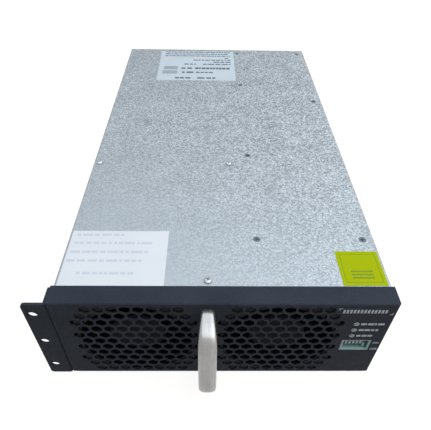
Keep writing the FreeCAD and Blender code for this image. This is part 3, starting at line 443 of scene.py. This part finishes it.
def lathe(profile):
    """A closed solid of revolution about Z from points (radius, height) that start and end on the axis."""
    segments = 36
    turns = [2 * math.pi * k / segments for k in range(segments)]
    bm = bmesh.new()
    rings = []
    for radius, height in profile:
        if radius == 0:
            rings.append([bm.verts.new((0, 0, height))])
            continue
        rings.append([bm.verts.new((radius * math.cos(a), radius * math.sin(a), height)) for a in turns])
    for upper, lower in zip(rings, rings[1:]):
        for k in range(segments):
            j = (k + 1) % segments
            corners = [upper[k % len(upper)], upper[j % len(upper)]]
            corners += [lower[j % len(lower)], lower[k % len(lower)]]
            bm.faces.new(list(dict.fromkeys(corners)))
    bmesh.ops.recalc_face_normals(bm, faces=bm.faces)
    return bm


def cross_cutter(top, reach, width, depth):
    """A tapered cross that cuts a screwdriver's recess from the top downwards."""
    bm = bmesh.new()
    taper = 0.45
    half = width / 2
    arm = [(reach, -half), (reach, half), (half, half)]
    outline = []
    for quarter in range(4):
        outline += arm
        arm = [(-y, x) for x, y in arm]
    rings = []
    for height, share in ((top + depth, 1.0), (top, 1.0), (top - depth, taper)):
        rings.append([bm.verts.new((x * share, y * share, height)) for x, y in outline])
    for upper, lower in zip(rings, rings[1:]):
        bridge(bm, upper, lower)
    bm.faces.new(rings[0])
    bm.faces.new(rings[-1])
    bmesh.ops.recalc_face_normals(bm, faces=bm.faces)
    return bm


def recessed(body, cutter):
    """The first mesh minus the second one."""
    objects = []
    for bm in (body, cutter):
        mesh = bpy.data.meshes.new("blank")
        bm.to_mesh(mesh)
        bm.free()
        made = bpy.data.objects.new("blank", mesh)
        bpy.context.scene.collection.objects.link(made)
        objects.append(made)
    cut = objects[0].modifiers.new("recess", "BOOLEAN")
    cut.operation = "DIFFERENCE"
    cut.solver = "EXACT"
    cut.object = objects[1]
    evaluated = objects[0].evaluated_get(bpy.context.evaluated_depsgraph_get())
    result = bpy.data.meshes.new_from_object(evaluated)
    for made in objects:
        mesh = made.data
        bpy.data.objects.remove(made)
        bpy.data.meshes.remove(mesh)
    return result


def screw(length, sunk):
    """A screw along -Z whose head's underside, or flat top where it is sunk, lies at 0."""
    radius = SCREW_HEAD / 2
    shank = SCREW_SHANK / 2
    tip = 0.3 * MM
    if sunk:
        top = 0
        rim = 0.1 * MM
        edge = 0.08 * MM
        profile = [(0, 0), (radius - rim, 0), (radius, -edge), (shank, -SUNK_HEAD_HEIGHT)]
    else:
        top = RAISED_HEAD_HEIGHT
        dome_start = 0.35
        rim = 0.3 * top
        edge = 0.06 * top
        dome = [(math.sin(a), math.cos(a)) for a in (0.25, 0.5, 0.75, 1.0, 1.25, 1.45)]
        profile = [(0, top)]
        profile += [(radius * x, top * (dome_start + (1 - dome_start) * y)) for x, y in dome]
        profile += [(radius, rim), (radius, edge), (radius - edge, 0), (shank, 0)]
    profile += [(shank, tip - length), (shank - tip, -length), (0, -length)]
    cutter = cross_cutter(top, reach=0.58 * radius, width=0.30 * radius, depth=0.42 * radius)
    return recessed(lathe(profile), cutter)


def dressed_screws(name, slot, sunk, axis):
    """Screws with recesses that stand for a node's plain ones, whose boxes give their places."""
    bm = bmesh.new()
    turn = random.Random(name)
    head_height = SUNK_HEAD_HEIGHT if sunk else RAISED_HEAD_HEIGHT
    for low, high in islands(name):
        middle = (low + high) / 2
        if axis == "Z":
            down = Vector((0, 0, -1))
            seat = Vector((middle.x, middle.y, high.z if sunk else high.z - head_height))
            length = seat.z - low.z
        else:
            down = Vector((-1 if middle.x > 0 else 1, 0, 0))
            outer = high.x if middle.x > 0 else low.x
            inner = low.x if middle.x > 0 else high.x
            seat = Vector((outer + down.x * head_height, middle.y, middle.z))
            length = abs(seat.x - inner)
        mesh = screw(length, sunk)
        spin = Matrix.Rotation(turn.uniform(0, math.pi / 2), 4, "Z")
        upright = (-down).to_track_quat("Z", "Y").to_matrix().to_4x4()
        mesh.transform(Matrix.Translation(seat) @ upright @ spin)
        add_mesh(bm, mesh)
    piece = add_piece(name + "_dressed", bm, looks[slot], smooth=35)
    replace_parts(piece, name)


dressed_screws("cover_screws", "dark_screw", sunk=True, axis="Z")
dressed_screws("pan_screws", "zinc_screw", sunk=False, axis="Z")
dressed_screws("side_screws", "zinc_screw", sunk=False, axis="X")
dressed_screws("panel_screws", "dark_screw", sunk=False, axis="X")


def handle_bores(face):
    """Holes for the handle's screws, which enter it through the panel's face."""
    radius = 2.1 * MM
    spare = 0.4 * MM
    lead = 1 * MM
    bores = bmesh.new()
    for low, high in islands("handle_screws"):
        middle = (low + high) / 2
        depth = face - low.y + spare
        bore = lathe([(0, depth), (radius, depth), (radius, -lead), (0, -lead)])
        forward = Matrix.Rotation(math.pi / 2, 4, "X")
        bore.transform(Matrix.Translation((middle.x, face, middle.z)) @ forward)
        mesh = bpy.data.meshes.new("bore")
        bore.to_mesh(mesh)
        bore.free()
        add_mesh(bores, mesh)
    return bores


def crowned(share, power):
    """The share raised to a power, with its sign kept."""
    return math.copysign(abs(share) ** power, share)


def bow_handle():
    """The pull handle with a crowned section and bores for its screws, in place of the flatter node."""
    low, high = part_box("pull_handle")
    middle = (low + high) / 2
    grip_width, grip_thickness = 12.3 * MM, 8.0 * MM
    foot_width, foot_thickness = 9.1 * MM, 9.0 * MM
    corner = 15.0 * MM
    foot_crown, grip_crown = 4.5, 2.9
    points = 56
    leg_steps, bend_steps = 6, 20
    bend = corner - grip_thickness / 2
    straight = high.y - low.y - corner
    run = straight + bend * math.pi / 2
    bm = bmesh.new()

    def section(reach, lean, side):
        """One ring of points: reach is its way along the leg, lean its turn round the bend, and side 1 for
        the upper half and -1 for the lower one."""
        swell = math.sin((reach + bend * lean) / run * math.pi / 2)
        half_width = (foot_width + swell * (grip_width - foot_width)) / 2
        half_thickness = (foot_thickness + swell * (grip_thickness - foot_thickness)) / 2
        power = 2 / (foot_crown + swell * (grip_crown - foot_crown))
        y = high.y - reach - bend * math.sin(lean)
        z = high.z - foot_thickness / 2 - bend * (1 - math.cos(lean))
        ring = []
        for k in range(points):
            turn = 2 * math.pi * k / points
            across = half_width * crowned(math.cos(turn), power)
            out = half_thickness * crowned(math.sin(turn), power)
            place = Vector((middle.x + across, y - out * math.sin(lean), z + out * math.cos(lean)))
            ring.append(bm.verts.new((place.x, place.y, middle.z + side * (place.z - middle.z))))
        return ring

    stations = [(straight * k / leg_steps, 0.0) for k in range(leg_steps)]
    stations += [(straight, math.pi / 2 * k / bend_steps) for k in range(bend_steps + 1)]
    rings = [section(*station, 1) for station in stations]
    rings += [section(*station, -1) for station in reversed(stations)]
    for first, second in zip(rings, rings[1:]):
        bridge(bm, first, second)
    bm.faces.new(rings[0])
    bm.faces.new(rings[-1])
    bmesh.ops.recalc_face_normals(bm, faces=bm.faces)
    bored = bmesh.new()
    add_mesh(bored, recessed(bm, handle_bores(high.y)))
    slot = "satin_aluminium"
    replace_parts(add_piece("pull_handle_bow", bored, looks[slot], smooth=40), "pull_handle")


bow_handle()


def words(seed, start, end, letter):
    """Short bars in a row between two places, as words with letters of that width would be."""
    dice = random.Random(seed)
    bars = []
    at = start
    while at < end - letter:
        length = min(dice.uniform(*WORD_LENGTHS) * letter, end - at)
        bars.append((at, at + length))
        at += length + dice.uniform(*WORD_GAPS) * letter
    return bars


def label_print(name, label, rows, look):
    """Bars on a label. A row is (middle from the rear, left, right, height, width of a letter), as shares of
    the label's sides, and a letter of no width gives one solid bar."""
    low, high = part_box(label)
    width = high.x - low.x
    depth = high.y - low.y
    bm = bmesh.new()
    for index, (middle, left, right, height, letter) in enumerate(rows):
        y = high.y - middle * depth
        half = height * depth / 2
        bars = words(name + str(index), left, right, letter) if letter else [(left, right)]
        for a, b in bars:
            add_box(bm, (low.x + a * width, y - half, high.z),
                    (low.x + b * width, y + half, high.z + LABEL_INK))
    add_piece(name, bm, look)


def code_rows(first, left):
    """Thin bars under one another on the rating label, in the place of a printed code."""
    count = 5
    pitch = 0.022
    right = 0.25
    height = 0.010
    return [(first + pitch * k, left, right, height, 0) for k in range(count)]


rating_rows = [(0.035, 0.06, 0.95, 0.030, 0.016), (0.105, 0.06, 0.95, 0.030, 0.016),
               (0.175, 0.06, 0.95, 0.030, 0.016), (0.255, 0.87, 0.95, 0.030, 0.020),
               (0.325, 0.45, 0.95, 0.032, 0.018), (0.395, 0.72, 0.95, 0.032, 0.020),
               (0.470, 0.33, 0.50, 0.035, 0.018), (0.470, 0.58, 0.95, 0.035, 0.020),
               (0.610, 0.30, 0.45, 0.050, 0.030), (0.610, 0.48, 0.95, 0.060, 0.014),
               (0.745, 0.31, 0.46, 0.050, 0.030), (0.745, 0.49, 0.73, 0.040, 0.016),
               (0.925, 0.23, 0.45, 0.045, 0.020), (0.925, 0.51, 0.74, 0.045, 0.026)]
rating_rows += code_rows(0.555, 0.07) + code_rows(0.700, 0.06)
plain_rows = [(0.08, 0.05, 0.57, 0.045, 0.026), (0.24, 0.04, 0.85, 0.045, 0.026),
              (0.41, 0.03, 0.84, 0.045, 0.026), (0.57, 0.02, 0.76, 0.045, 0.026),
              (0.79, 0.15, 0.74, 0.045, 0.026)]
yellow_rows = [(0.09, 0.08, 0.92, 0.015, 0), (0.91, 0.08, 0.92, 0.015, 0),
               (0.50, 0.08, 0.095, 0.82, 0), (0.50, 0.905, 0.92, 0.82, 0),
               (0.60, 0.25, 0.75, 0.045, 0), (0.69, 0.25, 0.75, 0.045, 0), (0.78, 0.25, 0.75, 0.045, 0)]
label_print("rating_print", "rating_label", rating_rows, dark_ink)
label_print("plain_print", "plain_label", plain_rows, grey_ink)
label_print("yellow_print", "yellow_label", yellow_rows, olive_ink)

# Print on the panel's face, placed in millimetres to the right of its middle and up from its top edge
panel_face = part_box("front_panel")[0].y
panel_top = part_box("front_panel")[1].z


def face_box(bm, left, right, bottom, top):
    """A field of print on the panel's face."""
    add_box(bm, (left * MM, panel_face - PANEL_INK, panel_top + bottom * MM),
            (right * MM, panel_face, panel_top + top * MM))


def legend_prints():
    """Fields of white print: bars beside the indicators, and above them a row between two corner marks."""
    bm = bmesh.new()
    names_left = 91.9
    names_right = (107.6, 105.2, 102.9)
    letter = 1.0
    half_height = 1.1
    for index, right in enumerate(names_right):
        low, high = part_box("indicator_lens_%d" % (index + 1))
        z = ((low.z + high.z) / 2 - panel_top) / MM
        for a, b in words("legend%d" % index, names_left, right, letter):
            face_box(bm, a, b, z - half_height, z + half_height)
    row_left, row_right = 76.8, 106.4
    row_bottom, row_top = -9.4, -5.6
    count = 13
    filled = 0.62
    step = (row_right - row_left) / count
    for k in range(count):
        face_box(bm, row_left + k * step, row_left + (k + filled) * step, row_bottom, row_top)
    mark_width, mark_height, stroke = 2.1, 2.1, 0.5
    left, top = 73.9, -4.1
    face_box(bm, left, left + mark_width, top - stroke, top)
    face_box(bm, left, left + stroke, top - mark_height, top - stroke)
    right, bottom = 109.9, -11.2
    face_box(bm, right - mark_width, right, bottom, bottom + stroke)
    face_box(bm, right - stroke, right, bottom + stroke, bottom + mark_height)
    add_piece("legend_print", bm, white_ink)


def lens_rings():
    """A thin white ring printed round each indicator."""
    bm = bmesh.new()
    segments = 48
    inner = 1.66 * MM
    outer = 1.98 * MM
    turns = [2 * math.pi * k / segments for k in range(segments)]
    for index in (1, 2, 3):
        low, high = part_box("indicator_lens_%d" % index)
        x = (low.x + high.x) / 2
        z = (low.z + high.z) / 2
        rings = []
        for radius in (inner, outer):
            for y in (panel_face, panel_face - PANEL_INK):
                ring = [(x + radius * math.cos(a), y, z + radius * math.sin(a)) for a in turns]
                rings.append([bm.verts.new(place) for place in ring])
        inner_back, inner_front, outer_back, outer_front = rings
        bridge(bm, inner_back, inner_front)
        bridge(bm, inner_front, outer_front)
        bridge(bm, outer_front, outer_back)
        bridge(bm, outer_back, inner_back)
    add_piece("lens_rings", bm, white_ink)


def switch_word(text, left, right, middle):
    """A word on the panel beside the switch, fitted between two places."""
    curve = bpy.data.curves.new("word_" + text, "FONT")
    curve.body = text
    curve.extrude = 0.5
    curve.offset = 0.045
    made = bpy.data.objects.new("word_" + text, curve)
    bpy.context.scene.collection.objects.link(made)
    mesh = bpy.data.meshes.new_from_object(made.evaluated_get(bpy.context.evaluated_depsgraph_get()))
    bpy.data.objects.remove(made)
    bpy.data.curves.remove(curve)
    bm = bmesh.new()
    add_mesh(bm, mesh)
    xs = [v.co.x for v in bm.verts]
    ys = [v.co.y for v in bm.verts]
    scale = (right - left) * MM / (max(xs) - min(xs))
    centre_y = (max(ys) + min(ys)) / 2
    for v in bm.verts:
        x = left * MM + (v.co.x - min(xs)) * scale
        z = panel_top + middle * MM + (v.co.y - centre_y) * scale
        v.co = (x, panel_face - PANEL_INK / 2 - v.co.z * PANEL_INK, z)
    add_piece("word_" + text.lower(), bm, white_ink)


legend_prints()
lens_rings()
switch_word("ON", left=105.6, right=109.8, middle=-45.2)
switch_word("OFF", left=105.6, right=110.8, middle=-53.4)


def seen_rays(tree):
    """1 for rays from the eye, and for those that show the background in gloss or through glass."""
    rays = tree.nodes.new("ShaderNodeLightPath")
    total = rays.outputs["Is Camera Ray"]
    for name in ("Is Glossy Ray", "Is Transmission Ray"):
        larger = tree.nodes.new("ShaderNodeMath")
        larger.operation = "MAXIMUM"
        tree.links.new(total, larger.inputs[0])
        tree.links.new(rays.outputs[name], larger.inputs[1])
        total = larger.outputs[0]
    return total


def floor_material():
    """Pale and matt to the light, and white to the eye, a little less so near the object."""
    pale = (0.175, 0.16, 0.14, 1)
    near, far = 0.5, 2.5
    near_glow, far_glow = 0.9, 1.0
    material = bpy.data.materials.new("floor")
    material.use_nodes = True
    tree = material.node_tree
    tree.nodes.remove(tree.nodes["Principled BSDF"])
    diffuse = tree.nodes.new("ShaderNodeBsdfDiffuse")
    diffuse.inputs["Color"].default_value = pale
    coords = tree.nodes.new("ShaderNodeTexCoord")
    away = tree.nodes.new("ShaderNodeVectorMath")
    away.operation = "LENGTH"
    tree.links.new(coords.outputs["Object"], away.inputs[0])
    fade = tree.nodes.new("ShaderNodeMapRange")
    tree.links.new(away.outputs["Value"], fade.inputs["Value"])
    fade.inputs["From Min"].default_value = near
    fade.inputs["From Max"].default_value = far
    fade.inputs["To Min"].default_value = near_glow
    fade.inputs["To Max"].default_value = far_glow
    share = tree.nodes.new("ShaderNodeMath")
    share.operation = "MULTIPLY"
    tree.links.new(seen_rays(tree), share.inputs[0])
    tree.links.new(fade.outputs["Result"], share.inputs[1])
    glow = tree.nodes.new("ShaderNodeEmission")
    tree.links.new(share.outputs[0], glow.inputs["Strength"])
    add = tree.nodes.new("ShaderNodeAddShader")
    tree.links.new(diffuse.outputs[0], add.inputs[0])
    tree.links.new(glow.outputs[0], add.inputs[1])
    tree.links.new(add.outputs[0], tree.nodes["Material Output"].inputs["Surface"])
    return material


def make_floor():
    """A wide floor under the object, which keeps its shadow."""
    half = 20.0
    z = cad_box[0].z
    corners = ((-half, -half), (half, -half), (half, half), (-half, half))
    bm = bmesh.new()
    bm.faces.new([bm.verts.new((x, y, z)) for x, y in corners])
    mesh = bpy.data.meshes.new("floor")
    bm.to_mesh(mesh)
    bm.free()
    mesh.materials.append(floor_material())
    floor = bpy.data.objects.new("floor", mesh)
    bpy.context.scene.collection.objects.link(floor)


def make_world():
    """A dim room, darker and warmer near the horizon, that is white to the eye and in gloss."""
    low_height, low_light = 0.1, (0.095, 0.085, 0.07, 1)
    high_height, high_light = 0.6, (0.20, 0.215, 0.24, 1)
    world = bpy.data.worlds.new("room")
    bpy.context.scene.world = world
    world.use_nodes = True
    tree = world.node_tree
    background = tree.nodes["Background"]
    coords = tree.nodes.new("ShaderNodeTexCoord")
    split = tree.nodes.new("ShaderNodeSeparateXYZ")
    tree.links.new(coords.outputs["Generated"], split.inputs[0])
    ramp = tree.nodes.new("ShaderNodeValToRGB")
    ramp.color_ramp.elements[0].position = low_height
    ramp.color_ramp.elements[0].color = low_light
    ramp.color_ramp.elements[1].position = high_height
    ramp.color_ramp.elements[1].color = high_light
    tree.links.new(split.outputs["Z"], ramp.inputs["Fac"])
    mix = tree.nodes.new("ShaderNodeMix")
    mix.data_type = "RGBA"
    tree.links.new(seen_rays(tree), mix.inputs["Factor"])
    tree.links.new(ramp.outputs["Color"], mix.inputs["A"])
    mix.inputs["B"].default_value = (1, 1, 1, 1)
    tree.links.new(mix.outputs["Result"], background.inputs["Color"])


def make_light(name, place, aim, size, power, colour):
    """A rectangular lamp that the camera doesn't see, with sizes in metres and its power in watts."""
    light = bpy.data.lights.new(name, "AREA")
    light.shape = "RECTANGLE"
    light.size, light.size_y = size
    light.energy = power
    light.color = colour
    made = bpy.data.objects.new(name, light)
    made.location = place
    made.rotation_mode = "QUATERNION"
    made.rotation_quaternion = (Vector(aim) - Vector(place)).to_track_quat("-Z", "Y")
    made.visible_camera = False
    bpy.context.scene.collection.objects.link(made)


def make_camera():
    """The camera, which looks along its yaw and pitch and is then rolled."""
    yaw, pitch, roll = (math.radians(a) for a in (CAMERA_YAW, CAMERA_PITCH, CAMERA_ROLL))
    ahead = Vector((math.sin(yaw) * math.cos(pitch), math.cos(yaw) * math.cos(pitch), -math.sin(pitch)))
    level = Vector((math.cos(yaw), -math.sin(yaw), 0))
    down = ahead.cross(level)
    across = level * math.cos(roll) + down * math.sin(roll)
    below = down * math.cos(roll) - level * math.sin(roll)
    data = bpy.data.cameras.new("camera")
    data.sensor_width = CAMERA_SENSOR
    data.lens = CAMERA_SENSOR * CAMERA_FOCAL
    data.clip_start = CAMERA_NEAREST
    made = bpy.data.objects.new("camera", data)
    turn = Matrix((across, -below, -ahead)).transposed().to_4x4()
    made.matrix_world = Matrix.Translation(CAMERA_PLACE) @ turn
    bpy.context.scene.collection.objects.link(made)
    bpy.context.scene.camera = made


make_floor()
make_world()
make_light("sky", place=(0.45, -0.2, 1.5), aim=(0.45, -0.2, 0.0), size=(2.8, 2.4), power=32.2,
           colour=(0.84, 0.93, 1.0))
make_light("window", place=(1.05, -0.3, 1.48), aim=(1.05, -0.3, 0.0), size=(1.6, 2.2), power=12.4,
           colour=(0.87, 0.93, 1.0))
make_light("front", place=(0.46, -0.48, 0.40), aim=(0.03, -0.2, 0.05), size=(0.45, 0.35), power=0.78,
           colour=(1.0, 0.74, 0.48))
make_camera()
bpy.context.scene.view_settings.view_transform = "Standard"
